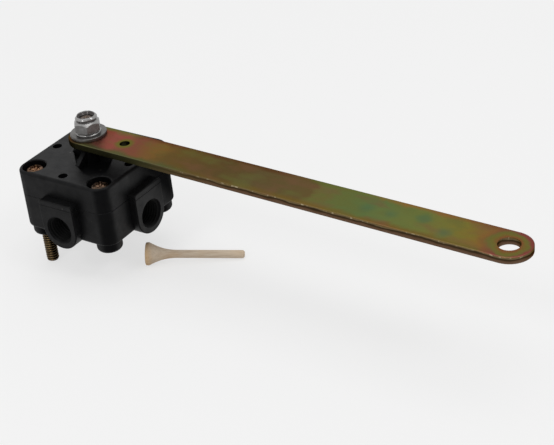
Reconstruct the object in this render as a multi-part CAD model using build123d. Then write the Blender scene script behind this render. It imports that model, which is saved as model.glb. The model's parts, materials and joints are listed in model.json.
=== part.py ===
"""Height control valve of an air suspension, with its lever and its locating pin.

The origin is on the shaft axis, in the plane of the corner bosses' end faces,
which seat on the bracket. +Z is up along the shaft and +X runs along the
neutral lever. Millimetres and degrees throughout.
"""
from build123d import *
import os
from math import cos, sin, sqrt, tan, radians

# Housing: a square block in two shells that stands on four corner bosses
body_side = 52.0
wall_draft = 0.2
corner_radius = 6.5
top_edge_round = 1.5
underside_height = 4.8
underside_round = 1.5
seam_height = 22.2
cover_top = 34.6
screw_pitch = 38.1
boss_radius = 6.0
boss_end_round = 1.9
seam_bevel = 0.2

# Chamber for the disc valve, bored in both shells
chamber_radius = 15.0
chamber_floor = 16.2
chamber_ceiling = 29.6
seal_ring_radius = 18.2
seal_wire = 1.6
groove_side_gap = 0.15

# Core under the base, and the exhaust boss in its middle
outer_wall = 2.8
core_depth = 3.2
rib_thickness = 2.2
exhaust_boss_radius = 10.6
exhaust_boss_end = 1.6
exhaust_cavity_radius = 8.8
exhaust_cavity_top = 7.0

# Ports: a U-shaped pad, flat on top and round below, with a tapped bore
port_height = 10.6
pad_reach = 30.1
pad_half_width = 9.7
pad_above_seam = 2.6
pad_corner_round = 1.4
pad_edge_round = 0.5
pad_root = 15.6
port_bore_radius = 6.5
port_bore_depth = 12.5
port_mouth_chamfer = 0.5
supply_turn = 0.0
delivery_turn = -90.0

# Passages from the ports to the valve seat
passage_radius = 2.0
riser_radius = 1.6
riser_circle = 7.0
supply_riser_angle = -40.0
delivery_riser_angle = -90.0
exhaust_riser_angle = -140.0

# Pocket, boss and gussets on top of the cover
pocket_depth = 2.0
pocket_draft = 12.0
pocket_waist = 11.6
pocket_reach = 16.0
pocket_lobe_start = 8.2
pocket_screw_clear = 8.2
shaft_boss_top = 40.9
shaft_boss_radius = 4.9
shaft_boss_flare = 0.35
gusset_height = 4.5
gusset_foot = 11.4
gusset_thickness = 2.2
boss_root = 0.5
boss_edge_bevel = 0.3
pin_hole_circle = 21.3
pin_hole_radius = 2.2
pin_hole_depth = 9.0

# Screws that close the housing; two of them go through and are the mounting studs
screw_radius = 2.95
shank_radius = 2.65
screw_hole_radius = 3.3
head_radius = 4.3
head_height = 3.8
head_sink = 1.2
head_round = 0.9
head_hole_radius = 5.5
head_hole_chamfer = 0.4
socket_across_flats = 3.9
socket_depth = 1.9
stud_reach = 16.3
tip_chamfer = 0.8
short_screw_tip = 7.6
blind_hole_floor = 5.6
insert_radius = 4.2
insert_length = 9.5

# Control shaft, its bush, seals and thrust washer
shaft_radius = 3.175
bush_wall = 0.8
running_gap = 0.05
rubber_gap = 0.08
gland_radius = 5.05
gland_height = 2.0
o_ring_wire = 1.7
wiper_height = 1.0
wiper_radius = 4.8
collar_radius = 7.6
collar_thickness = 1.2
thrust_washer_thickness = 0.5
thrust_gap = 0.08
tang_width = 8.0
tang_thickness = 3.0
tang_depth = 4.4
flat_width = 4.8
thread_radius = 3.1

# Side gap of parts that are pressed or seated for good
static_gap = 0.02

# Disc valve: gasket, port plate, rotor, driver and spring
gasket_thickness = 0.8
gasket_radius = 12.4
plate_thickness = 2.6
plate_radius = 13.2
plate_hole_radius = 1.5
dowel_radius = 1.0
dowel_circle = 11.2
dowel_angles = (45.0, 135.0)
dowel_sink = 2.0
dowel_top_gap = 0.5
rotor_radius = 11.3
rotor_thickness = 2.8
kidney_depth = 1.2
kidney_width = 3.4
kidney_half_angle = 32.0
driver_flange = 1.55
driver_hub_radius = 5.6
driver_hub_height = 2.8
driver_lug_radius = 1.2
driver_lug_circle = 9.3
driver_lug_depth = 2.0
spring_radius = 6.7
spring_wire = 0.9
spring_turns = 2.4
slot_gap = 0.05

# Inlet screen and check valve in the supply port
screen_radius = 5.6
screen_thickness = 1.2
screen_hole_radius = 0.7
screen_hole_spacing = 2.2
screen_hole_rows = 5
check_cavity_radius = 4.0
check_cavity_depth = 6.0
check_seat_thickness = 1.5
check_seat_hole = 1.9
poppet_radius = 3.2
poppet_thickness = 1.1
poppet_stem_radius = 1.0
poppet_stem_length = 2.8
poppet_seat_gap = 0.05
guide_thickness = 1.6
guide_hub_radius = 1.9
guide_arm_width = 1.2
guide_ring_wall = 0.7
guide_gap = 0.08

# Exhaust cover: a perforated disc with a rubber umbrella on its stem
vent_disc_thickness = 1.4
vent_disc_height = 2.9
vent_hole_radius = 1.0
vent_hole_circle = 4.4
vent_hole_count = 8
umbrella_radius = 6.6
umbrella_thickness = 0.9
umbrella_rim = 0.3
umbrella_stem_radius = 1.2
umbrella_bulb_radius = 1.9
umbrella_bulb_height = 1.2

# Lever and what clamps it
lever_turn = -1.65
lever_length = 211.1
lever_width = 19.05
lever_thickness = 3.2
lever_underside = 42.15
lever_edge_round = 0.4
lever_end_hole = 4.65
lever_pin_hole = 2.4
washer_radius = 8.4
washer_thickness = 1.6
washer_hole = 3.4
nut_across_flats = 11.1
nut_hex_height = 4.5
nut_total_height = 8.4
nut_face_radius = 5.35
nut_face_height = 0.7
nut_crown_radius = 5.1
nut_crown_mouth = 4.0
nut_corner_bevel = 0.69
nut_bevel_inset = 0.2
nut_neck = 0.35
nut_neck_height = 1.1
nut_neck_flare = 0.4
nut_crown_drop = 0.5
nut_crown_rim = 0.25
nut_mouth_depth = 1.1
nut_corner_angle = 9.0
nut_bore_gap = 0.05
shaft_end_sink = 1.4

# Locating pin that holds lever and cover in line while the valve is fitted
pin_length = 46.1
pin_head_radius = 5.4
pin_stem_radius = 1.9
pin_flare_length = 14.5
pin_flare_angle = 27.0
pin_waist = (2.85, 7.5)
pin_tip_round = 0.7
pin_head_edge = 1.5
pin_head_break = 0.3
pin_foot = (25.6, -3.2)
pin_heading = 31.0

# Heights and places that follow from the sizes above
half_pitch = screw_pitch / 2
pad_top = seam_height + pad_above_seam
front_left = (-half_pitch, -half_pitch)
front_right = (half_pitch, -half_pitch)
back_right = (half_pitch, half_pitch)
back_left = (-half_pitch, half_pitch)
stud_corners = (front_left, back_left)
cap_corners = (front_right, back_right)
head_seat = cover_top - head_sink - head_height
pocket_floor = cover_top - pocket_depth
bush_radius = shaft_radius + running_gap + bush_wall
gland_top = chamber_ceiling + gland_height
thrust_washer_top = chamber_ceiling - thrust_gap
collar_top = thrust_washer_top - thrust_washer_thickness
collar_bottom = collar_top - collar_thickness
plate_bottom = chamber_floor + gasket_thickness
plate_top = plate_bottom + plate_thickness
rotor_bottom = plate_top + running_gap
rotor_top = rotor_bottom + rotor_thickness
driver_top = rotor_top + driver_flange
lever_top = lever_underside + lever_thickness
washer_top = lever_top + washer_thickness
nut_top = washer_top + nut_total_height
port_floor = pad_reach - port_bore_depth
screen_floor = port_floor - screen_thickness
check_floor = screen_floor - check_cavity_depth
whole_height = cover_top + stud_reach


def body_side_at(height):
    """Outer width of the drafted block at a height."""
    return body_side + 2 * (cover_top - height) * tan(radians(wall_draft))


def on_circle(radius, angle):
    """Plan point at a radius and an angle about the shaft axis."""
    return (radius * cos(radians(angle)), radius * sin(radians(angle)))


def disc(radius, bottom, top, centre=(0, 0)):
    """Upright cylinder between two heights."""
    return Pos(centre[0], centre[1], bottom) * extrude(Circle(radius), top - bottom)


def ring(outer, inner, bottom, top, centre=(0, 0)):
    """Upright ring between two heights."""
    return Pos(centre[0], centre[1], bottom) * extrude(Circle(outer) - Circle(inner), top - bottom)


def turned(points):
    """Solid of revolution about Z from a closed outline of (radius, height) points."""
    outline = make_face(Polyline([(r, 0, z) for r, z in points], close=True))
    return revolve(outline, Axis.Z)


def torus_ring(radius, wire_radius, height):
    """O-ring of round section about the shaft axis."""
    return Pos(0, 0, height) * Torus(radius, wire_radius)


def facing(turn):
    """Frame of a port: local Z runs outward along the bore, local X to its side."""
    outward = on_circle(1.0, turn)
    side = (-outward[1], outward[0], 0)
    return Plane(origin=(0, 0, port_height), x_dir=side, z_dir=(outward[0], outward[1], 0))


def bored(turn, radius, start, end):
    """Cylinder along a port's axis between two distances from the shaft axis."""
    return facing(turn) * Pos(0, 0, start) * extrude(Circle(radius), end - start)


def housing_block(bottom, top):
    """Drafted block with round corners between two heights."""
    low = Pos(0, 0, bottom) * RectangleRounded(body_side_at(bottom), body_side_at(bottom), corner_radius)
    high = Pos(0, 0, top) * RectangleRounded(body_side_at(top), body_side_at(top), corner_radius)
    return loft([low, high])


def port_pad(turn):
    """U-shaped pad with its barrel: flat top, straight sides, round below."""
    rise = pad_top - port_height
    upper = Pos(0, rise / 2) * Rectangle(2 * pad_half_width, rise)
    top_corners = upper.vertices().sort_by(Axis.Y)[-2:]
    upper = fillet(top_corners, pad_corner_round)
    outline = upper + Circle(pad_half_width)
    pad = extrude(Pos(0, 0, pad_root) * outline, pad_reach - pad_root)
    front_edges = pad.faces().sort_by(Axis.Z)[-1].edges()
    pad = fillet(front_edges, pad_edge_round)
    return facing(turn) * pad


def above_seam(solid):
    """The part of a solid that belongs to the cover."""
    return split(solid, bisect_by=Plane.XY.offset(seam_height), keep=Keep.TOP)


def below_seam(solid):
    """The part of a solid that belongs to the base."""
    return split(solid, bisect_by=Plane.XY.offset(seam_height), keep=Keep.BOTTOM)


def bevelled_seam(shell):
    """Breaks the outer edge of a shell at the parting line."""
    rim = shell.edges().filter_by_position(Axis.Z, seam_height - 0.01, seam_height + 0.01)
    return chamfer(rim, seam_bevel)


def corner_boss(centre):
    """Column under a corner screw, rounded at its end."""
    boss = extrude(Circle(boss_radius), seam_height)
    boss = fillet(boss.edges().sort_by(Axis.Z)[0], boss_end_round)
    return Pos(centre[0], centre[1], 0) * boss


def make_base():
    """Lower shell with the ports, the valve chamber, the passages and the exhaust boss."""
    base = housing_block(underside_height, seam_height)
    base = fillet(base.faces().sort_by(Axis.Z)[0].edges(), underside_round)
    core_side = body_side_at(underside_height) - 2 * outer_wall
    core = extrude(RectangleRounded(core_side, core_side, corner_radius - outer_wall), core_depth)
    base -= Pos(0, 0, underside_height) * core
    rib_height = underside_height + core_depth
    rib_length = screw_pitch * sqrt(2)
    for angle in (45.0, 135.0):
        rib = extrude(Rectangle(rib_length, rib_thickness), core_depth)
        base += Pos(0, 0, underside_height) * Rot(0, 0, angle) * rib
    base += disc(exhaust_boss_radius, exhaust_boss_end, rib_height)
    for centre in stud_corners + cap_corners:
        base += corner_boss(centre)
    for turn in (supply_turn, delivery_turn):
        base += below_seam(port_pad(turn))
    base = bevelled_seam(base)

    base -= disc(chamber_radius, chamber_floor, seam_height)
    groove_half = seal_wire / 2 + groove_side_gap
    base -= ring(seal_ring_radius + groove_half, seal_ring_radius - groove_half,
                 seam_height - seal_wire, seam_height)
    for turn in (supply_turn, delivery_turn):
        base -= bored(turn, port_bore_radius, port_floor, pad_reach)
        mouth = Cone(port_bore_radius, port_bore_radius + port_mouth_chamfer, port_mouth_chamfer)
        base -= facing(turn) * Pos(0, 0, pad_reach - port_mouth_chamfer / 2) * mouth
    base -= bored(supply_turn, screen_radius, screen_floor, port_floor)
    base -= bored(supply_turn, check_cavity_radius, check_floor, screen_floor)

    supply_riser = on_circle(riser_circle, supply_riser_angle)
    delivery_riser = on_circle(riser_circle, delivery_riser_angle)
    exhaust_riser = on_circle(riser_circle, exhaust_riser_angle)
    base -= bored(supply_turn, passage_radius, supply_riser[0], check_floor)
    base -= bored(delivery_turn, passage_radius, riser_circle, port_floor)
    cross_drilling = extrude(Circle(riser_radius), -supply_riser[1])
    base -= Plane(origin=(supply_riser[0], 0, port_height), z_dir=(0, -1, 0)) * cross_drilling
    for riser in (supply_riser, delivery_riser):
        base -= disc(riser_radius, port_height, chamber_floor, riser)
    base -= disc(riser_radius, exhaust_cavity_top, chamber_floor, exhaust_riser)
    base -= disc(exhaust_cavity_radius, exhaust_boss_end, exhaust_cavity_top)
    for angle in dowel_angles:
        base -= disc(dowel_radius + static_gap, chamber_floor - dowel_sink, chamber_floor,
                     on_circle(dowel_circle, angle))

    for centre in stud_corners:
        base -= disc(screw_hole_radius, 0, seam_height, centre)
    for centre in cap_corners:
        base -= disc(screw_hole_radius, blind_hole_floor, seam_height, centre)
        base -= disc(insert_radius, seam_height - insert_length, seam_height, centre)
    return base


def pocket_outline():
    """Pocket round the shaft boss: three lobes towards the corners, one plain chord."""
    waist = pocket_waist
    reach = pocket_reach
    start = pocket_lobe_start
    middle = Polyline([(waist, 0), (0, waist), (-waist, 0), (0, -waist)], close=True)
    outline = make_face(middle)
    for turn in (-90.0, 0.0, 90.0):
        lobe = Polyline([(0, 0), (waist, 0), (reach, start), (reach, reach), (start, reach), (0, waist)],
                        close=True)
        outline += Rot(0, 0, turn) * make_face(lobe)
    for centre in (front_right, back_right, back_left):
        outline -= Pos(*centre) * Circle(pocket_screw_clear)
    return outline


def shaft_boss():
    """Flared boss that carries the shaft bush, braced by four gussets."""
    foot = pocket_floor - boss_root
    boss = turned([(0, foot), (shaft_boss_radius + shaft_boss_flare, foot),
                   (shaft_boss_radius, shaft_boss_top - boss_edge_bevel),
                   (shaft_boss_radius - boss_edge_bevel, shaft_boss_top), (0, shaft_boss_top)])
    gusset_top = cover_top + gusset_height
    profile = Polyline([(0, 0, foot), (gusset_foot, 0, foot), (gusset_foot, 0, cover_top),
                        (shaft_boss_radius, 0, gusset_top), (0, 0, gusset_top)], close=True)
    gusset = extrude(make_face(profile), gusset_thickness / 2, both=True)
    for turn in (0.0, 90.0, 180.0, 270.0):
        boss += Rot(0, 0, turn) * gusset
    return boss


def make_cover():
    """Upper shell with the screw recesses, the pocket, the shaft boss and the pin holes."""
    cover = housing_block(seam_height, cover_top)
    top_edges = cover.faces().sort_by(Axis.Z)[-1].edges()
    cover = fillet(top_edges, top_edge_round)
    for turn in (supply_turn, delivery_turn):
        cover += above_seam(port_pad(turn))
    cover = bevelled_seam(cover)
    pocket = extrude(Pos(0, 0, cover_top) * pocket_outline(), amount=pocket_depth, dir=(0, 0, -1),
                     taper=pocket_draft)
    cover -= pocket
    cover += shaft_boss()

    cover -= disc(chamber_radius, seam_height, chamber_ceiling)
    cover -= disc(gland_radius, chamber_ceiling, gland_top)
    cover -= disc(bush_radius, gland_top, shaft_boss_top)
    for centre in stud_corners + cap_corners:
        cover -= disc(screw_hole_radius, seam_height, head_seat, centre)
        cover -= disc(head_hole_radius, head_seat, cover_top, centre)
        rim = Cone(head_hole_radius, head_hole_radius + head_hole_chamfer, head_hole_chamfer)
        cover -= Pos(centre[0], centre[1], cover_top - head_hole_chamfer / 2) * rim
    for angle in (0.0, 90.0, 180.0, 270.0):
        cover -= disc(pin_hole_radius, cover_top - pin_hole_depth, cover_top,
                      on_circle(pin_hole_circle, angle))
    return cover


def screw(tip, thread_top, centre):
    """Button-head screw with a hexagon socket, a reduced shank and a threaded end down to the tip."""
    head = extrude(Circle(head_radius), head_height)
    head = fillet(head.edges().sort_by(Axis.Z)[-1], head_round)
    socket = extrude(RegularPolygon(socket_across_flats / 2, 6, major_radius=False), socket_depth)
    head -= Pos(0, 0, head_height - socket_depth) * socket
    thread = extrude(Circle(screw_radius), thread_top - tip)
    thread = chamfer(thread.edges().sort_by(Axis.Z)[0], tip_chamfer)
    whole = Pos(0, 0, head_seat) * head + disc(shank_radius, thread_top, head_seat)
    whole += Pos(0, 0, tip) * thread
    return Pos(centre[0], centre[1], 0) * whole


def double_flat(radius, flats, height):
    """Bar of round section with two flats, which face +Y and -Y."""
    section = Circle(radius) & Rectangle(3 * radius, flats)
    return extrude(section, height)


def make_control_shaft():
    """Shaft with drive tang, thrust collar, lever flats and threaded end."""
    shaft = disc(collar_radius, collar_bottom, collar_top)
    shaft += disc(shaft_radius, collar_top, lever_underside)
    shaft += Pos(0, 0, lever_underside) * double_flat(shaft_radius, flat_width, lever_thickness)
    end = nut_top - shaft_end_sink
    threaded = chamfer(disc(thread_radius, lever_top, end).edges().sort_by(Axis.Z)[-1], tip_chamfer / 2)
    shaft += threaded
    tang = extrude(Rectangle(tang_width, tang_thickness), tang_depth)
    shaft += Pos(0, 0, collar_bottom - tang_depth) * tang
    return shaft


def make_driver():
    """Plastic driver: flange and slotted hub above, two lugs below that turn the rotor."""
    driver = disc(rotor_radius, rotor_top, driver_top)
    driver += disc(driver_hub_radius, driver_top, driver_top + driver_hub_height)
    slot = Rectangle(tang_width + 2 * slot_gap, tang_thickness + 2 * slot_gap)
    slot_floor = collar_bottom - tang_depth - slot_gap
    driver -= Pos(0, 0, slot_floor) * extrude(slot, driver_top + driver_hub_height - slot_floor)
    for angle in (90.0, 270.0):
        driver += disc(driver_lug_radius, rotor_top - driver_lug_depth, rotor_top,
                       on_circle(driver_lug_circle, angle))
    return driver


def make_rotor():
    """Lapped disc with a kidney-shaped groove below and two holes for the driver's lugs."""
    rotor = disc(rotor_radius, rotor_bottom, rotor_top)
    middle = CenterArc((0, 0), riser_circle, delivery_riser_angle - kidney_half_angle,
                       2 * kidney_half_angle)
    groove = make_face(offset(middle, kidney_width / 2, side=Side.BOTH).edges())
    rotor -= Pos(0, 0, rotor_bottom) * extrude(groove, kidney_depth)
    for angle in (90.0, 270.0):
        rotor -= disc(driver_lug_radius + slot_gap, rotor_top - driver_lug_depth - slot_gap, rotor_top,
                      on_circle(driver_lug_circle, angle))
    return rotor


def make_rotor_spring():
    """Coil spring between the driver's flange and the shaft collar."""
    low = driver_top + spring_wire / 2
    high = collar_bottom - spring_wire / 2
    path = Pos(0, 0, low) * Helix((high - low) / spring_turns, high - low, spring_radius)
    section = Plane(origin=path @ 0, z_dir=path % 0) * Circle(spring_wire / 2)
    return sweep(section, path)


def seat_disc(radius, bottom, top, hole_radius):
    """Disc under the rotor with the three flow holes and the dowel holes."""
    plate = disc(radius, bottom, top)
    for angle in (supply_riser_angle, delivery_riser_angle, exhaust_riser_angle):
        plate -= disc(hole_radius, bottom, top, on_circle(riser_circle, angle))
    for angle in dowel_angles:
        plate -= disc(dowel_radius + static_gap, bottom, top, on_circle(dowel_circle, angle))
    return plate


def make_inlet_screen():
    """Perforated disc in a recess at the bottom of the supply port."""
    plate = Circle(screen_radius - static_gap)
    reach = screen_radius - 2 * screen_hole_radius
    for place in HexLocations(screen_hole_spacing / 2, screen_hole_rows, screen_hole_rows):
        if place.position.length < reach:
            plate -= place * Circle(screen_hole_radius)
    return facing(supply_turn) * Pos(0, 0, screen_floor) * extrude(plate, screen_thickness)


def make_check_seat():
    """Ring that the check poppet closes against."""
    start = screen_floor - check_seat_thickness
    plan = Circle(check_cavity_radius - static_gap) - Circle(check_seat_hole)
    return facing(supply_turn) * Pos(0, 0, start) * extrude(plan, check_seat_thickness)


def make_check_poppet():
    """Floating disc with a guide stem, shown closed."""
    face = screen_floor - check_seat_thickness - poppet_seat_gap
    back = face - poppet_thickness
    poppet = bored(supply_turn, poppet_radius, back, face)
    return poppet + bored(supply_turn, poppet_stem_radius, back - poppet_stem_length, back)


def make_check_guide():
    """Spider whose hub guides the poppet's stem and stops its disc."""
    outer = Circle(check_cavity_radius - static_gap) - Circle(check_cavity_radius - guide_ring_wall)
    plan = outer + Circle(guide_hub_radius)
    arm_reach = check_cavity_radius - guide_ring_wall / 2
    for turn in (90.0, 210.0, 330.0):
        arm = Pos(arm_reach / 2, 0) * Rectangle(arm_reach, guide_arm_width)
        plan += Rot(0, 0, turn) * arm
    plan -= Circle(poppet_stem_radius + guide_gap)
    return facing(supply_turn) * Pos(0, 0, check_floor) * extrude(plan, guide_thickness)


def make_vent_disc():
    """Perforated disc that closes the exhaust cavity and carries the umbrella."""
    bottom = vent_disc_height
    plate = ring(exhaust_cavity_radius - static_gap, umbrella_stem_radius + static_gap,
                 bottom, bottom + vent_disc_thickness)
    for index in range(vent_hole_count):
        angle = 360 * index / vent_hole_count
        plate -= disc(vent_hole_radius, bottom, bottom + vent_disc_thickness,
                      on_circle(vent_hole_circle, angle))
    return plate


def make_exhaust_umbrella():
    """Rubber umbrella over the vent holes, with its stem and retaining bulb."""
    under = vent_disc_height
    over = under + vent_disc_thickness
    return turned([(0, under - umbrella_thickness),
                   (umbrella_radius - umbrella_thickness, under - umbrella_thickness),
                   (umbrella_radius, under - umbrella_rim),
                   (umbrella_radius, under),
                   (umbrella_stem_radius, under),
                   (umbrella_stem_radius, over),
                   (umbrella_bulb_radius, over),
                   (umbrella_stem_radius, over + umbrella_bulb_height),
                   (0, over + umbrella_bulb_height)])


def make_lever():
    """Flat bar with round ends, a hole with two flats, the pin hole and the linkage hole."""
    middle = Pos(lever_length / 2, 0) * Rectangle(lever_length, lever_width)
    plan = middle + Circle(lever_width / 2) + Pos(lever_length, 0) * Circle(lever_width / 2)
    bar = extrude(plan, lever_thickness)
    rims = bar.edges().filter_by(lambda e: abs(e.center().Z - lever_thickness / 2) > lever_thickness / 4)
    bar = fillet(rims, lever_edge_round)
    bar -= double_flat(shaft_radius + running_gap, flat_width + 2 * running_gap, lever_thickness)
    bar -= Pos(pin_hole_circle, 0) * extrude(Circle(lever_pin_hole), lever_thickness)
    bar -= Pos(lever_length, 0) * extrude(Circle(lever_end_hole), lever_thickness)
    return Pos(0, 0, lever_underside) * bar


def make_lock_nut():
    """All-metal lock nut: washer face, chamfered hexagon and rounded crown."""
    flat = nut_across_flats / 2
    corner = flat / cos(radians(30))
    bore = thread_radius + nut_bore_gap
    hexagon = extrude(RegularPolygon(flat, 6, major_radius=False), nut_hex_height)
    cone = turned([(0, 0), (flat - nut_bevel_inset, 0), (corner, nut_corner_bevel),
                   (corner, nut_hex_height - 2 * nut_corner_bevel), (nut_crown_radius, nut_hex_height),
                   (0, nut_hex_height)])
    nut = Pos(0, 0, nut_face_height) * Rot(0, 0, nut_corner_angle) * (hexagon & cone)
    nut += disc(nut_face_radius, 0, nut_face_height)
    neck_foot = nut_face_height + nut_hex_height - nut_corner_bevel
    crown_foot = nut_face_height + nut_hex_height + nut_neck_height
    nut += turned([(0, neck_foot), (nut_crown_radius - nut_neck, neck_foot),
                   (nut_crown_radius - nut_neck, crown_foot), (nut_crown_radius, crown_foot + nut_neck_flare),
                   (nut_crown_radius, nut_total_height - 2 * nut_crown_drop),
                   (nut_crown_mouth + nut_crown_rim, nut_total_height), (0, nut_total_height)])
    nut -= disc(bore, 0, nut_total_height)
    nut -= turned([(0, nut_total_height - nut_mouth_depth), (bore, nut_total_height - nut_mouth_depth),
                   (nut_crown_mouth, nut_total_height), (0, nut_total_height)])
    return Pos(0, 0, washer_top) * nut


def make_locating_pin():
    """Wooden pin like a golf tee, lying on the plane of the stud tips."""
    flare_start = (-sin(radians(pin_flare_angle)), 0, cos(radians(pin_flare_angle)))
    flare = Spline([(pin_head_radius, 0, pin_head_edge), (pin_waist[0], 0, pin_waist[1]),
                    (pin_stem_radius, 0, pin_flare_length)], tangents=[flare_start, (0, 0, 1)])
    rim = Polyline([(0, 0, 0), (pin_head_radius - pin_head_break, 0, 0),
                    (pin_head_radius, 0, pin_head_break), (pin_head_radius, 0, pin_head_edge)])
    tail = Polyline([(pin_stem_radius, 0, pin_flare_length), (pin_stem_radius, 0, pin_length - pin_tip_round),
                     (pin_stem_radius - pin_tip_round, 0, pin_length), (0, 0, pin_length), (0, 0, 0)])
    outline = make_face(rim.edges() + flare.edges() + tail.edges())
    pin = revolve(outline, Axis.Z)
    drop = pin_head_radius - pin_stem_radius
    lean = Plane(origin=(pin_foot[0], pin_foot[1], pin_head_radius - stud_reach),
                 z_dir=(pin_length * cos(radians(pin_heading)), pin_length * sin(radians(pin_heading)), -drop))
    return lean * pin


def group(solids):
    """Identical loose pieces that share one node."""
    return Compound(children=list(solids))


turned_by_lever = Rot(0, 0, lever_turn)
o_ring_radius = shaft_radius + rubber_gap + o_ring_wire / 2

parts = {
    "base": make_base(),
    "cover": make_cover(),
    "housing_seal": torus_ring(seal_ring_radius, seal_wire / 2, seam_height - seal_wire / 2),
    "mounting_stud_screws": group(screw(-stud_reach, 0, c) for c in stud_corners),
    "cover_screws": group(screw(short_screw_tip, seam_height, c) for c in cap_corners),
    "threaded_inserts": group(
        ring(insert_radius - static_gap, screw_radius + static_gap, seam_height - insert_length, seam_height, c)
        for c in cap_corners),
    "control_shaft": turned_by_lever * make_control_shaft(),
    "shaft_bush": ring(bush_radius - static_gap, shaft_radius + running_gap, gland_top, shaft_boss_top),
    "shaft_o_ring": torus_ring(o_ring_radius, o_ring_wire / 2, gland_top - o_ring_wire / 2),
    "dust_wiper": turned([(shaft_radius + rubber_gap, shaft_boss_top), (wiper_radius, shaft_boss_top),
                          (shaft_radius + wiper_height, shaft_boss_top + wiper_height),
                          (shaft_radius + rubber_gap, shaft_boss_top + wiper_height)]),
    "thrust_washer": ring(collar_radius, shaft_radius + static_gap, collar_top, thrust_washer_top),
    "rotor_spring": turned_by_lever * make_rotor_spring(),
    "rotor_driver": turned_by_lever * make_driver(),
    "rotor_disc": turned_by_lever * make_rotor(),
    "port_plate": seat_disc(plate_radius, plate_bottom, plate_top, plate_hole_radius),
    "plate_gasket": seat_disc(gasket_radius, chamber_floor, plate_bottom, riser_radius),
    "plate_dowels": group(
        disc(dowel_radius, chamber_floor - dowel_sink, plate_top - dowel_top_gap, on_circle(dowel_circle, a))
        for a in dowel_angles),
    "inlet_screen": make_inlet_screen(),
    "check_seat": make_check_seat(),
    "check_poppet": make_check_poppet(),
    "check_guide": make_check_guide(),
    "exhaust_vent_disc": make_vent_disc(),
    "exhaust_umbrella": make_exhaust_umbrella(),
    "lever": turned_by_lever * make_lever(),
    "lever_washer": ring(washer_radius, washer_hole, lever_top, washer_top),
    "lock_nut": make_lock_nut(),
    "locating_pin": make_locating_pin(),
}

os.makedirs("parts", exist_ok=True)
for name, solid in parts.items():
    export_step(solid, f"parts/{name}.step")
    box = solid.bounding_box()
    print(f"{name:22s} {solid.volume:10.1f} mm3  {box.size.X:6.1f} x {box.size.Y:6.1f} x {box.size.Z:6.1f}")
print("cover and studs together stand", whole_height, "mm high without the lever")
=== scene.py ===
# %% [markdown]
# # Height control valve
#
# This valve keeps the air suspension of a truck at its height. A black moulded housing stands on two
# threaded studs, and a long lever on its shaft follows the axle through a link. The solids come from
# CAD and stay as they are. This lesson gives them their finishes, and swaps the screws, the nut, the
# washer and the shaft for surfaces worked out with numpy, because their threads, lobes and dents
# catch the light in a way that plain solids can't.

import json

import bmesh
import bpy
import numpy as np
from mathutils import Matrix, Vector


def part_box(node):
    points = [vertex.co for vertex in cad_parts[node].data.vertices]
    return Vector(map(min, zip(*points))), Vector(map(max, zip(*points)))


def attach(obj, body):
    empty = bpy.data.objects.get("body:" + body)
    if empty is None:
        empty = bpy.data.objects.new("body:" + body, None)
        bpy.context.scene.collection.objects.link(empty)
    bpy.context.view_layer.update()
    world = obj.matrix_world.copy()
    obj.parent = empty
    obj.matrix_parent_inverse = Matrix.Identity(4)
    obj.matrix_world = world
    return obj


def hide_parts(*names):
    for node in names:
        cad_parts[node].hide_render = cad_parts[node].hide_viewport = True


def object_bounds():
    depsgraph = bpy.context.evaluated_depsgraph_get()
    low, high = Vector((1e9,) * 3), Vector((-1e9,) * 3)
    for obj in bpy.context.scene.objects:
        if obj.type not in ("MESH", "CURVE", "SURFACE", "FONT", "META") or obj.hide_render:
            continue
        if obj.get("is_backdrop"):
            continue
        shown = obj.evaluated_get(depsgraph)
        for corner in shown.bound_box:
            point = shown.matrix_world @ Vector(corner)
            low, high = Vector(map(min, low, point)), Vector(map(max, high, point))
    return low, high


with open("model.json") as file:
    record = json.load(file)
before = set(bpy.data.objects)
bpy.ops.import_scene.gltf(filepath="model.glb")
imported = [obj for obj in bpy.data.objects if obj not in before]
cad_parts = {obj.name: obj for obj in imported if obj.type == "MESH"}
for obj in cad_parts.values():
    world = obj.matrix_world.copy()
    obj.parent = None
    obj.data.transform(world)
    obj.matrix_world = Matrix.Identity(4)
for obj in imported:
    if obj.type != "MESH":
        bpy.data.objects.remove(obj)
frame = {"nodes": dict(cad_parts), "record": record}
solid_box = [list(corner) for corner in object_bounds()]

# %% [markdown]
# ## Lengths and colours
#
# Lengths are written in millimetres, as on a drawing, and become metres only where a mesh or a node
# gets them. Places where the new pieces meet the solids are read off the solids, so that both
# stay together. Colours are read off a screen, so they are sRGB codes, while the renderer adds light
# in linear values. One function turns the first into the second, and another gives a pattern the
# scale that makes its marks as large as they are on the real surface.

# %% Millimetres and colours
mm = 0.001


def linear(code):
    """Linear RGBA of an sRGB code: a channel is divided by 12.92 up to 0.04045, and raised to 2.4 above."""
    srgb = np.array([int(code[i:i + 2], 16) for i in (1, 3, 5)]) / 255
    channels = np.where(srgb <= 0.04045, srgb / 12.92, ((srgb + 0.055) / 1.055) ** 2.4)
    return (*channels.tolist(), 1.0)


def fineness(*sizes):
    """Scale of a pattern whose marks have these sizes in millimetres along x, y and z: 1 / size."""
    return tuple(1 / (size * mm) for size in sizes)


print("middle grey #808080 is", round(linear("#808080")[0], 3), "in linear light")

# %% Places that the new pieces share with the solids
def extent(node, axis):
    """Lowest and highest place of a solid along x, y or z, to a hundredth of a millimetre."""
    return [round(corner["xyz".index(axis)] / mm, 2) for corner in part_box(node)]


lever_bottom, lever_top = extent("lever", "z")
nut_foot, nut_top = extent("lock_nut", "z")
shaft_end = extent("control_shaft", "z")[1]
stud_tip, head_top = extent("mounting_stud_screws", "z")
short_screw_tip = extent("cover_screws", "z")[0]
base_foot, seam_height = extent("base", "z")
port_mouth = extent("cover", "x")[1]
screw_spacing = 38.1
half_spacing = screw_spacing / 2
print("lever from", lever_bottom, "to", lever_top, "mm, screw heads up to", head_top, "mm")
print("base from", base_foot, "to", seam_height, "mm, ports open at", port_mouth, "mm")

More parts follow.
